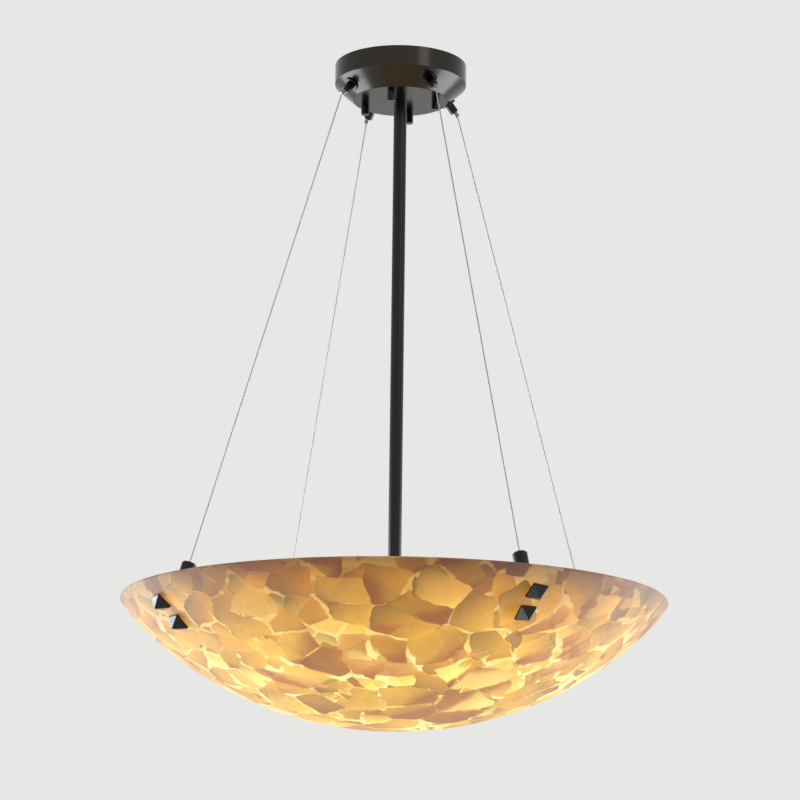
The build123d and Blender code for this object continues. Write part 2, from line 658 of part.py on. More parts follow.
def lamp_cap():
    """Screw cap of a lamp with its end button."""
    button = rod(BUTTON_RADIUS, LAMP_SEAT, LAMP_SEAT + BUTTON_HEIGHT)
    cap = rod(CAP_RADIUS, LAMP_SEAT + BUTTON_HEIGHT, LAMP_SEAT + BUTTON_HEIGHT + CAP_LENGTH)
    return on_side() * (button + cap)


def lamp_glass():
    """Thin pear-shaped envelope, open at the neck, where the cap closes it."""
    start = LAMP_SEAT + BUTTON_HEIGHT + CAP_LENGTH + GLASS_SHOULDER
    ball = start + GLASS_LENGTH - GLASS_RADIUS
    outline = []
    for wall in (0, GLASS_WALL):
        radius = GLASS_RADIUS - wall
        end = ThreePointArc(
            (radius, ball),
            (radius * math.sin(math.pi / 4), ball + radius * math.cos(math.pi / 4)),
            (0, ball + radius),
        )
        neck = Spline((GLASS_NECK_RADIUS - wall, start), (radius, ball), tangents=((0, 1), (0, 1)))
        outline += [end, neck]
    closing = [
        Line((GLASS_NECK_RADIUS, start), (GLASS_NECK_RADIUS - GLASS_WALL, start)),
        Line((0, ball + GLASS_RADIUS), (0, ball + GLASS_RADIUS - GLASS_WALL)),
    ]
    return on_side() * revolve(Plane.XZ * make_face(outline + closing), Axis.Z)


# ---------------------------------------------------------------- nodes

def at_studs(piece):
    """A piece at both studs of every clip."""
    frame = clip_frame().location
    pairs = [frame * Pos(offset, 0, 0) * piece for offset in stud_offsets()]
    return [copy for piece_here in pairs for copy in ring(piece_here, CLIP_COUNT, FIRST_CLIP_ANGLE)]


def main():
    os.makedirs("parts", exist_ok=True)

    save("ceiling_plate", ceiling_plate())
    save("ground_screw", ground_screw())
    save("canopy_studs", *ring(canopy_stud(), CLIP_COUNT, BETWEEN_CLIPS))
    save("canopy_cap_nuts", *ring(canopy_cap_nut(), CLIP_COUNT, BETWEEN_CLIPS))
    save("canopy", canopy())
    save("gripper_bodies", *ring(gripper_body(), CLIP_COUNT, FIRST_CLIP_ANGLE))
    save("gripper_nuts", *ring(gripper_nut(), CLIP_COUNT, FIRST_CLIP_ANGLE))
    save("cable_tails", *ring(cable_tail(), CLIP_COUNT, FIRST_CLIP_ANGLE))
    for number, piece in enumerate(ring(plunger(), CLIP_COUNT, FIRST_CLIP_ANGLE), 1):
        save(f"release_plunger_{number}", piece)
    for number, piece in enumerate(ring(cable(), CLIP_COUNT, FIRST_CLIP_ANGLE), 1):
        save(f"cable_{number}", piece)

    save("stem", stem())
    save("top_nipple", top_nipple())
    save("top_lock_nuts", *top_lock_nuts())
    save("hub_nipple", hub_nipple())
    save("hub_lock_nut", hub_lock_nut())

    save("bowl", bowl())
    for number, piece in enumerate(ring(clip(), CLIP_COUNT, FIRST_CLIP_ANGLE), 1):
        save(f"clip_{number}", piece)
    save("clip_pads", *ring(clip_pad(), CLIP_COUNT, FIRST_CLIP_ANGLE))
    save("cable_stops", *ring(cable_stop(), CLIP_COUNT, FIRST_CLIP_ANGLE))
    save("clip_nuts", *at_studs(clip_nut()))
    save("finial_studs", *at_studs(finial_stud()))
    save("finials", *at_studs(Pos(0, 0, -FINIAL_WASHER_THICKNESS) * finial()))
    block = bowl_block()
    save("finial_washers", *[washer - block for washer in at_studs(finial_washer())])

    save("hub_body", hub_body())
    save("hub_cover", hub_cover())
    save("cover_screws", *cover_screws())
    for number, piece in enumerate(ring(lampholder(), LAMP_COUNT, FIRST_LAMP_ANGLE), 1):
        save(f"lampholder_{number}", piece)
    save("screw_shells", *ring(screw_shell(), LAMP_COUNT, FIRST_LAMP_ANGLE))
    save("centre_contacts", *ring(centre_contact(), LAMP_COUNT, FIRST_LAMP_ANGLE))
    for number, piece in enumerate(ring(lamp_cap(), LAMP_COUNT, FIRST_LAMP_ANGLE), 1):
        save(f"lamp_cap_{number}", piece)
    for number, piece in enumerate(ring(lamp_glass(), LAMP_COUNT, FIRST_LAMP_ANGLE), 1):
        save(f"lamp_glass_{number}", piece)


main()
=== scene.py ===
"""Looks of a hanging bowl light: a bowl of fused stone chips on four taut cables."""

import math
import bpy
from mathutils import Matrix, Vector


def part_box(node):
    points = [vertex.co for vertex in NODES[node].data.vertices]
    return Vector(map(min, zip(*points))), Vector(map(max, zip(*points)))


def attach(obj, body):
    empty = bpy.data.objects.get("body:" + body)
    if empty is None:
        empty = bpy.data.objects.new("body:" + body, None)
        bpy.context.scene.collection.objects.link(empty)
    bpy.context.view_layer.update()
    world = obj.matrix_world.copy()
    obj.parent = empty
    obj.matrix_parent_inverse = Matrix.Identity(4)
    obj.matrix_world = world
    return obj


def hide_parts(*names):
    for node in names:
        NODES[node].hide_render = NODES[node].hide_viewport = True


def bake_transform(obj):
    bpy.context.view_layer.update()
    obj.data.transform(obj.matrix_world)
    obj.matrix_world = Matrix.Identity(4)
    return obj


bl_info = {
    "name": "Hanging bowl light",
    "version": (1, 0, 0),
    "blender": (4, 5, 0),
    "location": "View3D > Sidebar > Bowl Light",
    "description": "Dresses the packed hanging bowl light and sets up its stage",
    "category": "Object",
}

import bmesh
import bpy
from bpy.props import FloatProperty, FloatVectorProperty, PointerProperty
from mathutils import Matrix, Vector

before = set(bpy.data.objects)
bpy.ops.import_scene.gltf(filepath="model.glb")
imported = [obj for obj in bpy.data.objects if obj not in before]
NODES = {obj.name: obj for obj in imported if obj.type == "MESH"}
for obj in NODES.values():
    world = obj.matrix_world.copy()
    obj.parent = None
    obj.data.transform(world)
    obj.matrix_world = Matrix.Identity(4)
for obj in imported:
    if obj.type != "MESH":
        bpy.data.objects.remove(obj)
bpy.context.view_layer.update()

CLIP_COUNT = 4
LAMP_COUNT = 6
FIRST_CLIP_ANGLE = 32.0     # degrees from +X
CLIP_ANGLES = [math.radians(FIRST_CLIP_ANGLE + 360.0 / CLIP_COUNT * i) for i in range(CLIP_COUNT)]

# Places that the cables, clips and bowl share with the model, in metres. A pair is a
# distance from the light's axis and a height, with the ceiling at height 0.
CABLE_MOUTH = (0.0782291, -0.0471868)
CABLE_STOP = (0.258407, -0.616629)
UPPER_STUD = (0.2873, -0.6524)
LOWER_STUD = (0.266, -0.672236)
RIM_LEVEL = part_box("bowl")[1].z
BOWL_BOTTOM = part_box("bowl")[0].z
# The same with the rim at height 0: where the crown meets the side, and where the rim's
# rounding starts and ends, outside and inside.
SIDE_CORNER = (0.2765, -0.035)
OUTER_RIM = ((0.304094, -0.004124), (0.301987, 0.0))
INNER_RIM = ((0.297726, -0.001057), (0.299819, 0.0))
BOWL_WALL = 0.007
CROWN_STEPS = 44
SIDE_STEPS = 12
RIM_STEPS = 5
BOWL_STEPS = 224            # round the axis

WIRE_COUNT = 12             # wires in the outer layer of a cable
WIRE_SIDES = 5
CORE_SIDES = 8
LAY_STEPS = 10              # steps in which a wire goes once round

WASHER_THICKNESS = 0.001
PLINTH_HEIGHT = 0.002
PYRAMID_RISE = 0.0095       # from the plinth to the tip
TIP_SHARE = 0.07            # width of the blunt tip against the plinth's
# Degrees by which each finial is turned on its stud: the upper four, then the lower four.
FINIAL_TURNS = (0.0, 0.0, 3.0, -7.0, 0.0, 2.0, -2.0, 1.0)

SAME_PLACE = 1e-6           # points this close are one
SAME_SEAM = 1e-5            # the same where a spin closes on itself or a copy meets a copy

# Tones of the lit chips, from thick stone to thin.
PALE_CHIPS = ((0.0, (0.64, 0.34, 0.030)), (0.3, (0.76, 0.45, 0.055)), (1.0, (0.94, 0.66, 0.16)))
TAN_CHIPS = ((0.0, (0.34, 0.125, 0.008)), (0.07, (0.46, 0.21, 0.014)),
             (0.18, (0.58, 0.30, 0.024)), (0.50, (0.69, 0.385, 0.036)),
             (0.80, (0.82, 0.50, 0.064)), (1.0, (0.96, 0.66, 0.15)))
# Painted glow: how much of the lamps' light the wall lets through, from the bowl's bottom to its
# rim.
PAINTED_GLOW_BY_HEIGHT = ((0.0, (0.92, 0.92, 0.92)), (0.30, (1.0, 1.0, 1.0)), (0.55, (0.86, 0.77, 0.58)),
               (0.80, (0.57, 0.43, 0.25)), (1.0, (0.26, 0.15, 0.06)))

# The camera, with angles in degrees: upwards, towards +X, and anticlockwise seen from behind.
CAMERA_PLACE = (0.0775, -3.2855, -1.14198)
CAMERA_PITCH = 12.777
CAMERA_YAW = -1.285
CAMERA_ROLL = 0.7
SENSOR_WIDTH = 36.0         # millimetres

PALE = (0.80, 0.80, 0.79)
FLOOR_LEVEL = -2.6
FLOOR_REACH = 60.0          # from the middle to an edge
FLOOR_SHINE = 0.90          # brings the floor to the background's tone
COOL = (0.82, 0.92, 1.0)
WHITE = (1.0, 1.0, 1.0)
# Name, place, target, width, power and colour of each square soft box.
SOFT_BOXES = (
    ("left_box", (-1.5, 0.5, -1.0), (-0.2, 0.0, -0.68), 1.5, 52.0, COOL),
    ("right_box", (1.5, 0.5, -1.0), (0.2, 0.0, -0.68), 1.5, 50.0, COOL),
    ("low_box", (-1.1, -1.0, -2.1), (0.1, -0.2, -0.65), 0.5, 3.0, WHITE),
    ("front_box", (1.7, -1.9, 0.8), (0.0, 0.0, -0.3), 0.8, 3.0, WHITE),
)


# ---------------------------------------------------------------- sizes and colours

class BowlLightSettings(bpy.types.PropertyGroup):
    """Sizes and colours that a user would change."""

    chip_size: FloatProperty(
        name="Chip size", description="Width of a large stone chip",
        default=0.041, min=0.01, max=0.2, unit="LENGTH")
    glow: FloatProperty(
        name="Glow", description="How strongly the lit stone shines",
        default=1.15, min=0.0, max=5.0)
    vein_colour: FloatVectorProperty(
        name="Vein colour", description="Clear stone between the chips, lit",
        default=(1.0, 0.76, 0.28), size=3, subtype="COLOR", min=0.0, max=1.0)
    metal_colour: FloatVectorProperty(
        name="Metal colour", description="Satin dark metal of canopy, stem and lamp cluster",
        default=(0.042, 0.038, 0.034), size=3, subtype="COLOR", min=0.0, max=1.0)
    finial_size: FloatProperty(
        name="Finial size", description="Side of a pyramid finial",
        default=0.019, min=0.005, max=0.05, unit="LENGTH")
    finial_bevel: FloatProperty(
        name="Finial bevel", description="Width of the polished edges of a finial",
        default=0.0004, min=0.0, max=0.002, unit="LENGTH")
    cable_diameter: FloatProperty(
        name="Cable diameter", description="Diameter of a stranded cable",
        default=0.0016, min=0.0005, max=0.005, unit="LENGTH")
    cable_lay: FloatProperty(
        name="Cable lay", description="Length in which a wire goes about once round",
        default=0.014, min=0.002, max=0.1, unit="LENGTH")
    lens: FloatProperty(
        name="Lens", description="Focal length of the camera on a 36 mm wide sensor",
        default=133.9, min=10.0, max=500.0, unit="CAMERA")
    daylight: FloatProperty(
        name="Daylight", description="Strength of the even light from below and the sides",
        default=0.10, min=0.0, max=2.0)
    skylight: FloatProperty(
        name="Skylight", description="Strength of the even light from above",
        default=0.8, min=0.0, max=2.0)


# ---------------------------------------------------------------- shader nodes

def full_colour(value):
    """A colour of three parts with its alpha, and anything else as it is."""
    return (*value, 1.0) if isinstance(value, tuple) and len(value) == 3 else value


def feed(tree, socket, value):
    """Link an input to an output, or set it to a value."""
    if isinstance(value, bpy.types.NodeSocket):
        tree.links.new(value, socket)
    else:
        socket.default_value = value


def add_node(tree, kind, inputs=None, **settings):
    """A shader node with its settings, and its inputs set or linked."""
    node = tree.nodes.new(kind)
    for key, value in settings.items():
        setattr(node, key, value)
    for key, value in (inputs or {}).items():
        feed(tree, node.inputs[key], value)
    return node


def set_sockets(tree, shader, **values):
    """Set or link a shader's sockets; an underscore in a name stands for a space."""
    for key, value in values.items():
        feed(tree, shader.inputs[key.replace("_", " ")], full_colour(value))


def maths(tree, operation, *values, clamp=False):
    """Result of a math node on one to three values or sockets."""
    inputs = dict(enumerate(values))
    node = add_node(tree, "ShaderNodeMath", inputs, operation=operation, use_clamp=clamp)
    return node.outputs[0]


def vectors(tree, operation, first, second, output=0):
    """Result of a vector math node on two vectors."""
    node = add_node(tree, "ShaderNodeVectorMath", {0: first, 1: second}, operation=operation)
    return node.outputs[output]


def scaled(tree, vector, scale):
    """Vector times a number."""
    inputs = {0: vector, "Scale": scale}
    return add_node(tree, "ShaderNodeVectorMath", inputs, operation="SCALE").outputs[0]


def parts_of(tree, vector):
    """The three parts of a vector."""
    return add_node(tree, "ShaderNodeSeparateXYZ", {0: vector}).outputs


def from_axis(tree, parts):
    """Distance from the light's axis of a point that is given by its parts."""
    squares = [maths(tree, "MULTIPLY", part, part) for part in parts[:2]]
    return maths(tree, "SQRT", maths(tree, "ADD", *squares))


def vary(tree, value, middle, spread):
    """Turn a value from 0 to 1 into one that is spread evenly about a middle."""
    return maths(tree, "MULTIPLY_ADD", value, spread, middle - spread / 2)


def smooth_step(tree, value, none_at, full_at):
    """0 up to one value, 1 from the other on, and smooth between; either may be the larger."""
    inputs = {"Value": value, "From Min": none_at, "From Max": full_at}
    node = add_node(tree, "ShaderNodeMapRange", inputs, interpolation_type="SMOOTHSTEP")
    return node.outputs[0]


def noise(tree, vector, scale, detail=2.0, roughness=0.5, output=0):
    """Noise on a vector: output 0 is a number and output 1 a colour."""
    inputs = {"Vector": vector, "Scale": scale, "Detail": detail, "Roughness": roughness}
    return add_node(tree, "ShaderNodeTexNoise", inputs).outputs[output]


def drift(tree, place, scale, reach):
    """A shift to all sides by noise, half of reach at the most."""
    aside = vectors(tree, "SUBTRACT", noise(tree, place, scale, output=1), (0.5, 0.5, 0.5))
    return scaled(tree, aside, reach)


def grey(tree, value):
    """A number as a colour."""
    return add_node(tree, "ShaderNodeCombineColor", {0: value, 1: value, 2: value}).outputs[0]


def ramp(tree, factor, stops, interpolation="LINEAR"):
    """Colour ramp with (place, colour) stops."""
    node = add_node(tree, "ShaderNodeValToRGB", {0: factor})
    band = node.color_ramp
    band.interpolation = interpolation
    while len(band.elements) < len(stops):
        band.elements.new(1.0)
    for element, (place, colour) in zip(band.elements, stops):
        element.position = place
        element.color = full_colour(colour)
    return node.outputs[0]


def mix_colour(tree, factor, first, second, blend="MIX"):
    """Mix of two colours."""
    inputs = {0: factor, 6: full_colour(first), 7: full_colour(second)}
    node = add_node(tree, "ShaderNodeMix", inputs, data_type="RGBA", blend_type=blend)
    return node.outputs[2]


def times(tree, first, second):
    """Product of two colours."""
    return mix_colour(tree, 1.0, first, second, "MULTIPLY")


def new_material(name):
    """A material with its tree, its shader and Object coordinates."""
    material = bpy.data.materials.new(name)
    material.use_nodes = True
    tree = material.node_tree
    place = add_node(tree, "ShaderNodeTexCoord").outputs["Object"]
    return material, tree, tree.nodes["Principled BSDF"], place


def bump(tree, shader, height, distance, strength):
    """Bump on a shader from a height in metres times distance."""
    inputs = {"Height": height, "Distance": distance, "Strength": strength}
    set_sockets(tree, shader, Normal=add_node(tree, "ShaderNodeBump", inputs).outputs[0])


# ---------------------------------------------------------------- materials

class ChipLayer:
    """One layer of broken stone: which chip a point is in, and where in the chip it is."""

    def __init__(self, tree, place, scale, offset, stretch, turn=(0.0, 0.0, 0.0)):
        inputs = {"Vector": place, "Location": offset, "Rotation": turn, "Scale": stretch}
        moved = add_node(tree, "ShaderNodeMapping", inputs).outputs[0]
        inputs = {"Vector": moved, "Scale": scale}
        cell = add_node(tree, "ShaderNodeTexVoronoi", inputs).outputs
        border = add_node(tree, "ShaderNodeTexVoronoi", inputs, feature="DISTANCE_TO_EDGE")
        self.edge = border.outputs["Distance"]
        self.pick = add_node(tree, "ShaderNodeSeparateColor", {0: cell["Color"]}).outputs
        # The slope runs from about -0.5 to 0.5 across a chip, in a direction of the chip's own.
        local = scaled(tree, vectors(tree, "SUBTRACT", moved, cell["Position"]), scale)
        lean = vectors(tree, "SUBTRACT", cell["Color"], (0.5, 0.5, 0.5))
        lean = vectors(tree, "NORMALIZE", lean, (0.0, 0.0, 0.0))
        self.slope = vectors(tree, "DOT_PRODUCT", local, lean, "Value")


def lay_chips(tree, under, layer, gap, share, blur, tones, thick):
    """Colour with a layer of chips laid over it, and the part that these chips cover."""
    depth = maths(tree, "SUBTRACT", layer.edge, gap)
    soft = maths(tree, "MULTIPLY_ADD", layer.pick[2], blur, 0.010)
    present = smooth_step(tree, layer.pick[0], 1.0 - share, 1.005 - share)
    chip = maths(tree, "MULTIPLY", smooth_step(tree, depth, 0.0, soft), present)
    # Each chip has a clear and a thick side, and some are rusty on the thick one.
    wedge = maths(tree, "MULTIPLY_ADD", layer.slope, 0.6, 1.0)
    tone = times(tree, ramp(tree, layer.pick[1], tones), grey(tree, wedge))
    rust = maths(tree, "MULTIPLY", smooth_step(tree, layer.slope, -0.20, -0.45),
                 smooth_step(tree, layer.pick[2], 0.60, 0.66))
    tone = mix_colour(tree, maths(tree, "MULTIPLY", rust, 0.85), tone, (0.40, 0.115, 0.010))
    line = maths(tree, "MULTIPLY", smooth_step(tree, layer.slope, 0.05, -0.25),
                 smooth_step(tree, depth, 0.075, 0.01))
    tone = mix_colour(tree, maths(tree, "MULTIPLY", line, 0.45), tone, (0.36, 0.15, 0.014))
    stacked = mix_colour(tree, thick, tone, under, "MULTIPLY")
    return mix_colour(tree, chip, under, stacked), chip


def fused_stone(name, inside):
    """Chips of stone fused in clear resin, lit from behind by a painted glow; the inner face is
    paler, with painted lamplight.
    """
    settings = bpy.context.scene.bowl_light
    material, tree, shader, place = new_material(name)
    cells = 1.0 / settings.chip_size

    # Bends of the chips' outlines, and finer broken edges.
    bent = vectors(tree, "ADD", place, drift(tree, place, 15.0, 0.014))
    bent = vectors(tree, "ADD", bent, drift(tree, place, 70.0, 0.006))
    # The resin between the chips widens and narrows from place to place.
    gap = vary(tree, noise(tree, place, 17.0, 1.0), 0.035, 0.30)

    # Four layers from the wall's depth to its face, each stretched, shifted and turned its own way.
    deep = ChipLayer(tree, bent, 1.25 * cells, (0.31, 0.17, 0.53), (1.0, 1.0, 1.3))
    middle = ChipLayer(tree, bent, 1.1 * cells, (0.11, 0.47, 0.29), (1.35, 0.8, 1.1),
                       (0.6, 0.2, 0.5))
    face = ChipLayer(tree, bent, cells, (0.013, 0.0, 0.0), (0.9, 0.9, 1.15), (0.0, 0.3, 0.0))
    splinter = ChipLayer(tree, bent, 1.05 * cells, (0.23, 0.41, 0.07), (0.55, 1.5, 1.5),
                         (0.5, 0.9, 0.4))

    vein = tuple(settings.vein_colour)
    lit, _ = lay_chips(tree, vein, deep, gap, 0.90, 0.14, PALE_CHIPS, 0.0)
    lit, _ = lay_chips(tree, lit, middle, gap, 0.70, 0.06, TAN_CHIPS, 0.2)
    lit, face_chip = lay_chips(tree, lit, face, gap, 0.70, 0.05, TAN_CHIPS, 0.2)
    thin_chip = maths(tree, "MULTIPLY", smooth_step(tree, splinter.edge, 0.10, 0.15),
                      smooth_step(tree, splinter.pick[0], 0.83, 0.84))
    rusty = mix_colour(tree, smooth_step(tree, splinter.slope, -0.35, 0.3),
                       (0.42, 0.13, 0.014), (0.68, 0.33, 0.060))
    lit = mix_colour(tree, maths(tree, "MULTIPLY", thin_chip, 0.85), lit, rusty)

    # Clouds, grain and small dark specks in the stone.
    cloud = noise(tree, place, 30.0, 5.0, 0.6)
    lit = times(tree, lit, grey(tree, vary(tree, cloud, 0.995, 0.55)))
    speck = smooth_step(tree, noise(tree, place, 120.0, 3.0, 0.65), 0.66, 0.74)
    lit = mix_colour(tree, maths(tree, "MULTIPLY", speck, 0.35), lit, (0.40, 0.15, 0.02))

    # The stone's own colour is greyer and darker than its glow.
    dry = times(tree, mix_colour(tree, 0.7, lit, (0.76, 0.72, 0.68)), (0.33, 0.33, 0.33))

    inputs = {"Value": parts_of(tree, place)[2], "From Min": BOWL_BOTTOM, "From Max": RIM_LEVEL}
    climb = add_node(tree, "ShaderNodeMapRange", inputs).outputs[0]
    if inside:
        # Painted lamplight on the inner face: paler and warmer, brighter towards the bottom and
        # dimmer towards the rim.
        lit = mix_colour(tree, 0.55, lit, (1.0, 0.86, 0.55))
        level = maths(tree, "MULTIPLY_ADD", climb, -0.32 * settings.glow, 0.9 * settings.glow)
    else:
        # The painted glow is strongest below the lamps, and dimmer and more amber up to the rim.
        lit = times(tree, lit, ramp(tree, climb, PAINTED_GLOW_BY_HEIGHT, "EASE"))
        level = settings.glow
    rough = vary(tree, noise(tree, place, 90.0, 3.0), 0.51, 0.22)
    # The emission is the lamps' light through the stone, painted on as a glow.
    set_sockets(tree, shader, Base_Color=dry, Emission_Color=lit, Emission_Strength=level,
                Roughness=rough, Specular_IOR_Level=0.05, IOR=1.5)
    relief = maths(tree, "MULTIPLY_ADD", face_chip, 0.5, maths(tree, "MULTIPLY", cloud, 0.5))
    bump(tree, shader, relief, 0.0005, 0.5)
    return material


def spun_metal(name, colour, rings=420.0):
    """Dark polished metal with the fine rings of spinning about the light's axis."""
    material, tree, shader, place = new_material(name)
    parts = parts_of(tree, place)
    inputs = {0: from_axis(tree, parts), 1: parts[2]}
    across = add_node(tree, "ShaderNodeCombineXYZ", inputs).outputs[0]
    lines = noise(tree, across, rings, 4.0, 0.7)
    patches = noise(tree, place, 24.0, 3.0)
    rough = maths(tree, "ADD", vary(tree, lines, 0.22, 0.08), vary(tree, patches, 0.0, 0.10))
    shades = times(tree, colour, grey(tree, vary(tree, lines, 1.0, 0.4)))
    set_sockets(tree, shader, Base_Color=shades, Roughness=rough, Metallic=1.0)
    bump(tree, shader, lines, 0.00003, 0.5)
    return material


def drawn_metal(name, colour, roughness, grain, metallic=1.0, coat=0.0):
    """Metal with fine lines; grain says how fine along X, Y and Z."""
    material, tree, shader, place = new_material(name)
    inputs = {"Vector": place, "Scale": grain}
    stretched = add_node(tree, "ShaderNodeMapping", inputs).outputs[0]
    lines = noise(tree, stretched, 1.0, 3.0, 0.6)
    patches = noise(tree, place, 60.0, 3.0)
    rough = maths(tree, "ADD", vary(tree, lines, roughness, 0.14), vary(tree, patches, 0.0, 0.12))
    shades = times(tree, colour, grey(tree, vary(tree, patches, 1.0, 0.3)))
    set_sockets(tree, shader, Base_Color=shades, Roughness=rough, Metallic=metallic,
                Coat_Weight=coat, Coat_Roughness=0.08)
    bump(tree, shader, lines, 0.00003, 0.4)
    return material


def even_metal(name, colour, roughness, grain, coat=0.0):
    """Metal with the same fine grain in all directions."""
    return drawn_metal(name, colour, roughness, (grain, grain, grain), coat=coat)


def moulded(name, colour, roughness, coat=0.0, speck=0.05, specular=0.5):
    """Moulded or glazed body with faint mottling and orange peel."""
    material, tree, shader, place = new_material(name)
    fine = noise(tree, place, 320.0, 3.0)
    broad = noise(tree, place, 45.0, 3.0)
    shades = times(tree, colour, grey(tree, vary(tree, broad, 1.0, 2 * speck)))
    set_sockets(tree, shader, Base_Color=shades, Roughness=vary(tree, fine, roughness, 0.16),
                Coat_Weight=coat, Coat_Roughness=0.06, Specular_IOR_Level=specular)
    bump(tree, shader, fine, 0.00004, 0.5)
    return material


def frosted_glow(name):
    """Frosted lamp glass, lit, a little darker towards its screw cap."""
    material, tree, shader, place = new_material(name)
    frost = noise(tree, place, 500.0, 3.0)
    shine = smooth_step(tree, from_axis(tree, parts_of(tree, place)), 0.072, 0.125)
    colour = mix_colour(tree, shine, (1.0, 0.66, 0.34), (1.0, 0.88, 0.66))
    strength = maths(tree, "MULTIPLY_ADD", shine, 0.62, 0.36)
    set_sockets(tree, shader, Base_Color=(0.40, 0.38, 0.34), Emission_Color=colour,
                Emission_Strength=strength, Roughness=vary(tree, frost, 0.45, 0.2),
                Coat_Weight=0.2)
    bump(tree, shader, frost, 0.00003, 0.5)
    return material


# ---------------------------------------------------------------- pieces

def dress(names, material):
    """Give CAD nodes a material."""
    for name in names:
        slots = NODES[name].data.materials
        slots.clear()
        slots.append(material)


def numbered(stem, count):
    """Names stem_1 to stem_count."""
    return [f"{stem}_{i}" for i in range(1, count + 1)]


def new_piece(name, mesh_maker, materials, body, replaced):
    """Build a mesh piece, let it ride on a body and stand for CAD nodes."""
    mesh = bpy.data.meshes.new(name)
    shape = bmesh.new()
    mesh_maker(shape)
    bmesh.ops.recalc_face_normals(shape, faces=shape.faces)
    shape.to_mesh(mesh)
    shape.free()
    for material in materials:
        mesh.materials.append(material)
    piece = bpy.data.objects.new(name, mesh)
    bpy.context.scene.collection.objects.link(piece)
    if body:
        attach(piece, body)
    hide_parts(*replaced)
    return piece


def in_section(place):
    """Point of the XZ half plane at a distance from the axis and a height."""
    return Vector((place[0], 0.0, place[1]))


def around(angle, place):
    """Point at a distance from the axis and a height, turned by an angle."""
    return Vector((place[0] * math.cos(angle), place[0] * math.sin(angle), place[1]))


def everything(shape):
    """All the faces, edges and vertices of a shape."""
    return list(shape.faces) + list(shape.edges) + list(shape.verts)


def arc_to(shape, start, tangent, end, steps):
    """Spin a vertex in the XZ plane along the arc that leaves start in tangent's direction."""
    chord = end - start.co
    normal = Vector((-tangent.z, 0.0, tangent.x))
    radius = chord.length_squared / (2.0 * normal.dot(chord))
    turn = 2.0 * math.atan2(normal.dot(chord), tangent.dot(chord))
    made = bmesh.ops.spin(shape, geom=[start], cent=start.co + normal * radius,
                          axis=(0.0, -1.0, 0.0), angle=turn, steps=steps)
    last = next(item for item in made["geom_last"] if isinstance(item, bmesh.types.BMVert))
    return last, Matrix.Rotation(-turn, 3, "Y") @ tangent


def bowl_shape(shape):
    """Revolved bowl: crown, side and rim arcs, outside and inside."""
    rims = []
    slope = None
    for inset, side_end, rim_end in ((0.0, *OUTER_RIM), (BOWL_WALL, *INNER_RIM)):
        corner = in_section(SIDE_CORNER)
        if slope:
            corner += Vector((-slope.z, 0.0, slope.x)) * inset
        vert = shape.verts.new((0.0, 0.0, inset + BOWL_BOTTOM - RIM_LEVEL))
        vert, slope = arc_to(shape, vert, Vector((1.0, 0.0, 0.0)), corner, CROWN_STEPS)
        vert, tangent = arc_to(shape, vert, slope, in_section(side_end), SIDE_STEPS)
        vert, _ = arc_to(shape, vert, tangent, in_section(rim_end), RIM_STEPS)
        rims.append(vert)
    shape.edges.new(rims)
    bmesh.ops.remove_doubles(shape, verts=shape.verts, dist=SAME_PLACE)
    bmesh.ops.translate(shape, verts=shape.verts, vec=(0.0, 0.0, RIM_LEVEL))
    bmesh.ops.spin(shape, geom=everything(shape), cent=(0, 0, 0), axis=(0, 0, 1),
                   angle=math.tau, steps=BOWL_STEPS, use_merge=True)
    bmesh.ops.remove_doubles(shape, verts=shape.verts, dist=SAME_SEAM)
    # The outer face and the rim's rounding take the first material, the inner face the second.
    bmesh.ops.recalc_face_normals(shape, faces=shape.faces)
    for face in shape.faces:
        face.smooth = True
        rounding = face.calc_center_median().xy.length > OUTER_RIM[1][0]
        face.material_index = 0 if rounding or face.normal.z < 0 else 1


class BOWLLIGHT_OT_bowl(bpy.types.Operator):
    """Bowl of fused stone chips, with its lit outer and inner faces"""

    bl_idname = "bowl_light.bowl"
    bl_label = "Stone chip bowl"

    def execute(self, context):
        outer = fused_stone("fused_stone_outer", False)
        inner = fused_stone("fused_stone_inner", True)
        new_piece("stone_bowl", bowl_shape, [outer, inner], "bowl_group", ["bowl"])
        return {"FINISHED"}


def strand_maker(length):
    """Maker of a cable along Z: a core, and the wires that wind round it."""
    settings = bpy.context.scene.bowl_light
    wire = settings.cable_diameter / 10
    middle = settings.cable_diameter / 2 - wire
    core = 0.9 * middle     # closes the gaps between the wires
    turns = round(length / settings.cable_lay)
    lay = length / turns

    def make(shape):
        bmesh.ops.create_circle(shape, segments=CORE_SIDES, radius=core)
        for index in range(WIRE_COUNT):
            spot = Matrix.Translation(around(math.tau * index / WIRE_COUNT, (middle, 0.0)))
            bmesh.ops.create_circle(shape, segments=WIRE_SIDES, radius=wire, matrix=spot)
        bmesh.ops.spin(shape, geom=everything(shape), cent=(0, 0, 0), axis=(0, 0, 1),
                       dvec=(0, 0, lay / LAY_STEPS), angle=math.tau, steps=LAY_STEPS)
        bmesh.ops.spin(shape, geom=everything(shape), cent=(0, 0, 0), axis=(0, 0, 1),
                       dvec=(0, 0, lay), angle=math.tau * (turns - 1), steps=turns - 1,
                       use_duplicate=True)
        bmesh.ops.remove_doubles(shape, verts=shape.verts, dist=SAME_SEAM)
        bmesh.ops.holes_fill(shape, edges=shape.edges)
        for face in shape.faces:
            face.smooth = len(face.verts) == 4
    return make


class BOWLLIGHT_OT_cables(bpy.types.Operator):
    """Four taut stranded steel cables from the grippers to the clips"""

    bl_idname = "bowl_light.cables"
    bl_label = "Suspension cables"

    def execute(self, context):
        steel = even_metal("strand_steel", (0.50, 0.48, 0.44), 0.42, 600.0)
        for number, angle in enumerate(CLIP_ANGLES, 1):
            mouth = around(angle, CABLE_MOUTH)
            stop = around(angle, CABLE_STOP)
            length = (stop - mouth).length
            cable = new_piece(f"suspension_cable_{number}", strand_maker(length), [steel],
                              None, [f"cable_{number}"])
            lean = (stop - mouth).to_track_quat("Z", "Y").to_matrix().to_4x4()
            cable.data.transform(Matrix.Translation(mouth) @ lean)
            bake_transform(cable)
        dress(["cable_tails"], steel)
        return {"FINISHED"}


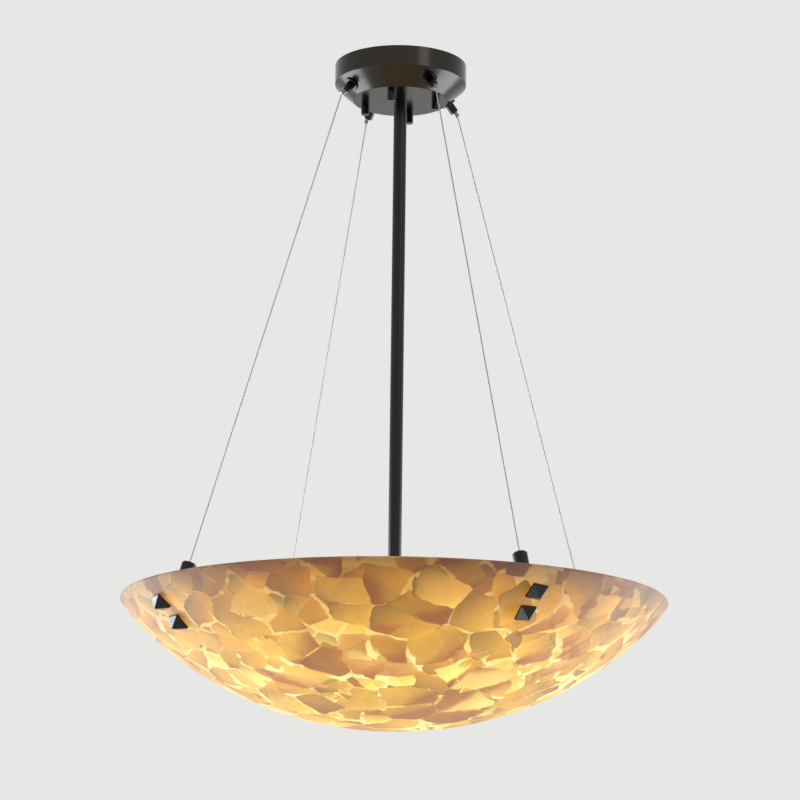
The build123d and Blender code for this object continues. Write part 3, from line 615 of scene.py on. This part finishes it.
def add_finial(shape, size, bevel, place):
    """One pyramid on its square plinth, with bevelled edges."""
    others = set(shape.verts)
    verts = bmesh.ops.create_cube(shape, size=1.0)["verts"]
    bmesh.ops.scale(shape, verts=verts, vec=(size, size, PLINTH_HEIGHT))
    bmesh.ops.translate(shape, verts=verts, vec=(0, 0, PLINTH_HEIGHT / 2))
    faces = {face for vert in verts for face in vert.link_faces}
    top = max(faces, key=lambda face: face.calc_center_median().z)
    tip = bmesh.ops.extrude_discrete_faces(shape, faces=[top])["faces"][0]
    bmesh.ops.translate(shape, verts=tip.verts, vec=(0, 0, PYRAMID_RISE))
    bmesh.ops.scale(shape, verts=tip.verts, vec=(TIP_SHARE, TIP_SHARE, 1.0))
    edges = [edge for edge in shape.edges if edge.verts[0] not in others]
    bmesh.ops.bevel(shape, geom=edges, offset=bevel, segments=3, profile=0.5,
                    affect="EDGES", material=-1, clamp_overlap=True)
    own = [vert for vert in shape.verts if vert not in others]
    bmesh.ops.transform(shape, verts=own, matrix=place)


def finials_shape(shape):
    """All the finials, two to a clip, on their washers."""
    settings = bpy.context.scene.bowl_light
    upper = in_section(UPPER_STUD)
    lower = in_section(LOWER_STUD)
    up_wall = (upper - lower).normalized()
    out = Vector((up_wall.z, 0.0, -up_wall.x))
    axes = Matrix((up_wall, out.cross(up_wall), out)).transposed().to_4x4()
    studs = [(stud, angle) for stud in (upper, lower) for angle in CLIP_ANGLES]
    for (stud, angle), turn in zip(studs, FINIAL_TURNS):
        seat = Matrix.Translation(stud + out * WASHER_THICKNESS)
        place = (Matrix.Rotation(angle, 4, "Z") @ seat @ axes
                 @ Matrix.Rotation(math.radians(turn), 4, "Z"))
        add_finial(shape, settings.finial_size, settings.finial_bevel, place)
    bmesh.ops.remove_doubles(shape, verts=shape.verts, dist=SAME_PLACE)


class BOWLLIGHT_OT_finials(bpy.types.Operator):
    """Pyramid finials with polished edges, and the clips and fixings behind them"""

    bl_idname = "bowl_light.finials"
    bl_label = "Finials and clips"

    def execute(self, context):
        enamel = moulded("gloss_black_enamel", (0.008, 0.008, 0.009), 0.18, speck=0.12,
                         specular=0.35)
        new_piece("pyramid_finials", finials_shape, [enamel], "bowl_group",
                  ["finials"])
        black = moulded("black_clip", (0.009, 0.009, 0.010), 0.30, speck=0.2, specular=0.25)
        dress(numbered("clip", CLIP_COUNT), black)
        zinc = even_metal("zinc_plate", (0.58, 0.58, 0.55), 0.34, 400.0)
        dress(["clip_nuts", "finial_studs", "cable_stops"], zinc)
        rubber = moulded("soft_rubber", (0.03, 0.03, 0.032), 0.75)
        dress(["clip_pads", "finial_washers"], rubber)
        return {"FINISHED"}


class BOWLLIGHT_OT_ceiling_end(bpy.types.Operator):
    """Canopy, stem, grippers, plate and their fixings"""

    bl_idname = "bowl_light.ceiling_end"
    bl_label = "Ceiling end"

    def execute(self, context):
        colour = tuple(context.scene.bowl_light.metal_colour)
        dress(["canopy"], spun_metal("spun_gunmetal", colour))
        dark = tuple(0.5 * part for part in colour)
        turned = even_metal("turned_gunmetal", dark, 0.22, 300.0, coat=0.1)
        dress(["gripper_bodies", "canopy_cap_nuts"], turned)
        black = tuple(0.3 * part for part in colour)
        tube = drawn_metal("drawn_black_tube", black, 0.24, (1200.0, 1200.0, 8.0), metallic=0.5)
        dress(["stem"], tube)
        zinc = even_metal("zinc_steel", (0.60, 0.60, 0.57), 0.36, 350.0)
        dress(["ceiling_plate", "canopy_studs", "top_nipple", "top_lock_nuts", "hub_nipple",
               "hub_lock_nut", "gripper_nuts", "cover_screws"], zinc)
        nozzle = even_metal("bright_nozzle", (0.20, 0.19, 0.18), 0.26, 500.0)
        dress(numbered("release_plunger", CLIP_COUNT), nozzle)
        dress(["ground_screw"], moulded("green_screw", (0.03, 0.16, 0.06), 0.4, coat=0.3))
        return {"FINISHED"}


class BOWLLIGHT_OT_lamps(bpy.types.Operator):
    """Lamp cluster: hub, holders, screw shells and lit lamps"""

    bl_idname = "bowl_light.lamps"
    bl_label = "Lamp cluster"

    def execute(self, context):
        colour = tuple(context.scene.bowl_light.metal_colour)
        dress(["hub_body", "hub_cover"], spun_metal("hub_gunmetal", colour, rings=260.0))
        porcelain = moulded("porcelain", (0.80, 0.78, 0.73), 0.22, coat=0.6)
        dress(numbered("lampholder", LAMP_COUNT), porcelain)
        brass = even_metal("brass", (0.72, 0.50, 0.20), 0.28, 500.0)
        dress(["screw_shells", "centre_contacts"], brass)
        aluminium = even_metal("aluminium_cap", (0.66, 0.66, 0.65), 0.30, 500.0)
        dress(numbered("lamp_cap", LAMP_COUNT), aluminium)
        dress(numbered("lamp_glass", LAMP_COUNT), frosted_glow("frosted_glow"))
        return {"FINISHED"}


# ---------------------------------------------------------------- stage

def background_seen(tree):
    """1 where the camera sees the background, straight or in a reflection, and otherwise 0."""
    ray = add_node(tree, "ShaderNodeLightPath").outputs
    straight = maths(tree, "ADD", ray["Is Camera Ray"], ray["Is Glossy Ray"])
    return maths(tree, "ADD", straight, ray["Is Transmission Ray"], clamp=True)


def add_studio_light(scene):
    """Pale background whose light on the object is weak, except from high above."""
    settings = scene.bowl_light
    world = bpy.data.worlds.new("pale_studio")
    scene.world = world
    world.use_nodes = True
    tree = world.node_tree
    towards = add_node(tree, "ShaderNodeTexCoord").outputs["Generated"]
    upwards = smooth_step(tree, parts_of(tree, towards)[2], 0.3, 0.7)
    light = maths(tree, "MULTIPLY_ADD", upwards, settings.skylight - settings.daylight,
                  settings.daylight)
    inputs = {"Value": background_seen(tree), "To Min": light, "To Max": 1.0}
    strength = add_node(tree, "ShaderNodeMapRange", inputs).outputs[0]
    set_sockets(tree, tree.nodes["Background"], Color=PALE, Strength=strength)


def add_floor(scene):
    """Pale floor that keeps the background's tone, and is clear when seen from below."""
    mesh = bpy.data.meshes.new("floor")
    shape = bmesh.new()
    bmesh.ops.create_grid(shape, x_segments=1, y_segments=1, size=FLOOR_REACH,
                          matrix=Matrix.Translation((0.0, 0.0, FLOOR_LEVEL)))
    shape.to_mesh(mesh)
    shape.free()
    floor = bpy.data.objects.new("floor", mesh)
    scene.collection.objects.link(floor)
    material, tree, shader, _ = new_material("pale_floor")
    shine = maths(tree, "MULTIPLY", background_seen(tree), FLOOR_SHINE)
    set_sockets(tree, shader, Base_Color=(0.10, 0.10, 0.10), Roughness=0.8,
                Emission_Color=PALE, Emission_Strength=shine)
    under = add_node(tree, "ShaderNodeNewGeometry").outputs["Backfacing"]
    clear = add_node(tree, "ShaderNodeBsdfTransparent").outputs[0]
    sides = add_node(tree, "ShaderNodeMixShader", {0: under, 1: shader.outputs[0], 2: clear})
    set_sockets(tree, tree.nodes["Material Output"], Surface=sides.outputs[0])
    mesh.materials.append(material)


def add_soft_box(scene, name, place, target, width, power, colour):
    """A square soft box at a place, turned to a target."""
    light = bpy.data.lights.new(name, "AREA")
    light.shape = "SQUARE"
    light.size = width
    light.energy = power
    light.color = colour
    lamp = bpy.data.objects.new(name, light)
    scene.collection.objects.link(lamp)
    turn = (Vector(target) - Vector(place)).to_track_quat("-Z", "Y").to_matrix().to_4x4()
    lamp.matrix_world = Matrix.Translation(place) @ turn


def add_camera(scene):
    """Camera at the photograph's viewing angle."""
    camera = bpy.data.objects.new("camera", bpy.data.cameras.new("camera"))
    scene.collection.objects.link(camera)
    camera.data.sensor_width = SENSOR_WIDTH
    camera.data.lens = scene.bowl_light.lens
    camera.matrix_world = (
        Matrix.Translation(CAMERA_PLACE)
        @ Matrix.Rotation(math.radians(-CAMERA_YAW), 4, "Z")
        @ Matrix.Rotation(math.radians(90.0 + CAMERA_PITCH), 4, "X")
        @ Matrix.Rotation(math.radians(CAMERA_ROLL), 4, "Z"))
    scene.camera = camera


class BOWLLIGHT_OT_stage(bpy.types.Operator):
    """Pale floor, soft studio light and the camera"""

    bl_idname = "bowl_light.stage"
    bl_label = "Stage"

    def execute(self, context):
        scene = context.scene
        scene.view_settings.view_transform = "Standard"
        add_studio_light(scene)
        add_floor(scene)
        for row in SOFT_BOXES:
            add_soft_box(scene, *row)
        add_camera(scene)
        return {"FINISHED"}


# ---------------------------------------------------------------- add-on

OPERATORS = (
    BOWLLIGHT_OT_bowl,
    BOWLLIGHT_OT_cables,
    BOWLLIGHT_OT_finials,
    BOWLLIGHT_OT_ceiling_end,
    BOWLLIGHT_OT_lamps,
    BOWLLIGHT_OT_stage,
)


class BOWLLIGHT_PT_panel(bpy.types.Panel):
    """Lists the settings and the pieces"""

    bl_idname = "BOWLLIGHT_PT_panel"
    bl_label = "Bowl Light"
    bl_space_type = "VIEW_3D"
    bl_region_type = "UI"
    bl_category = "Bowl Light"

    def draw(self, context):
        settings = context.scene.bowl_light
        for name in BowlLightSettings.__annotations__:
            self.layout.prop(settings, name)
        for operator in OPERATORS:
            self.layout.operator(operator.bl_idname)


CLASSES = (BowlLightSettings, *OPERATORS, BOWLLIGHT_PT_panel)


def register():
    """Register the settings, the operators and the panel."""
    for item in CLASSES:
        bpy.utils.register_class(item)
    bpy.types.Scene.bowl_light = PointerProperty(type=BowlLightSettings)


def unregister():
    """Undo what register does."""
    del bpy.types.Scene.bowl_light
    for item in reversed(CLASSES):
        bpy.utils.unregister_class(item)


def main():
    """Build everything in order."""
    register()
    for operator in OPERATORS:
        group, name = operator.bl_idname.split(".")
        getattr(getattr(bpy.ops, group), name)()


if __name__ == "__main__":
    main()
